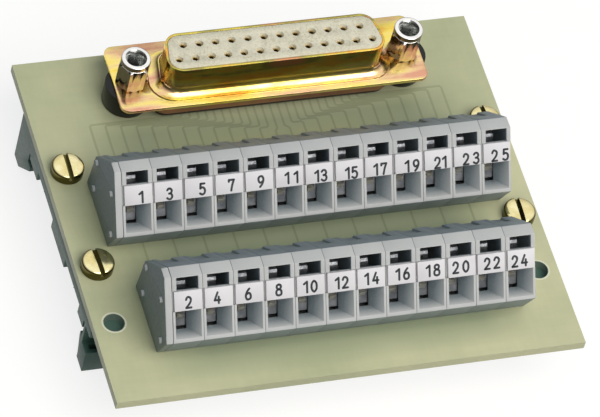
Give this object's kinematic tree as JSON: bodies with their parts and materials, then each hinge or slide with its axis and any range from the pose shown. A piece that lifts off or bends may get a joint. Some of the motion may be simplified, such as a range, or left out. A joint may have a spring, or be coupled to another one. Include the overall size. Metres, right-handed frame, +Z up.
{
  "type": "din rail interface module",
  "caption": "Open printed-board interface module for a 35 mm rail, with a D-shaped socket connector wired to two rows of spring clamp terminals.",
  "frame": {"origin": "under the middle of the board, at the height of the rail feet's lowest faces", "axes": "+X along the terminal rows, +Y towards the connector's side of the board, +Z up, the way the plug leaves"},
  "size_m": [0.079, 0.0684, 0.0269],
  "materials": {
    "board": "glass fibre laminate, satin, slightly see-through",
    "shell": "yellow chromated steel",
    "insulator": "moulded, satin",
    "contact": "gold-plated",
    "standoff": "black, satin",
    "nickel": "bright nickel plate",
    "housing": "grey polyamide, satin",
    "spring": "stainless spring steel",
    "bar": "tinned copper",
    "tag": "white, satin",
    "brass": "plain brass",
    "foot": "dark grey-green polyamide"
  },
  "bodies": {
    "root": {"board": "board", "clamp_springs_row_1": "spring", "clamp_springs_row_2": "spring", "connector_front_insulator": "insulator", "connector_front_shell": "shell", "connector_rear_insulator": "insulator", "connector_rear_shell": "shell", "contacts_far_row": "contact", "contacts_near_row": "contact", "current_bars_row_1": "bar", "current_bars_row_2": "bar", "end_plate_row_1": "housing", "end_plate_row_2": "housing", "foot_nut_left_far": "nickel", "foot_nut_left_near": "nickel", "foot_nut_right_far": "nickel", "foot_nut_right_near": "nickel", "foot_screw_left_far": "brass", "foot_screw_left_near": "brass", "foot_screw_right_far": "brass", "foot_screw_right_near": "brass", "jackscrew_left": "nickel", "jackscrew_nut_left": "nickel", "jackscrew_nut_right": "nickel", "jackscrew_right": "nickel", "marking_tags_row_1": "tag", "marking_tags_row_2": "tag", "rail_foot_left": "foot", "rail_foot_right": "foot", "standoff_left": "standoff", "standoff_right": "standoff", "terminal_housing_01": "housing", "terminal_housing_02": "housing", "terminal_housing_03": "housing", "terminal_housing_04": "housing", "terminal_housing_05": "housing", "terminal_housing_06": "housing", "terminal_housing_07": "housing", "terminal_housing_08": "housing", "terminal_housing_09": "housing", "terminal_housing_10": "housing", "terminal_housing_11": "housing", "terminal_housing_12": "housing", "terminal_housing_13": "housing", "terminal_housing_14": "housing", "terminal_housing_15": "housing", "terminal_housing_16": "housing", "terminal_housing_17": "housing", "terminal_housing_18": "housing", "terminal_housing_19": "housing", "terminal_housing_20": "housing", "terminal_housing_21": "housing", "terminal_housing_22": "housing", "terminal_housing_23": "housing", "terminal_housing_24": "housing", "terminal_housing_25": "housing"}
  },
  "joints": []
}
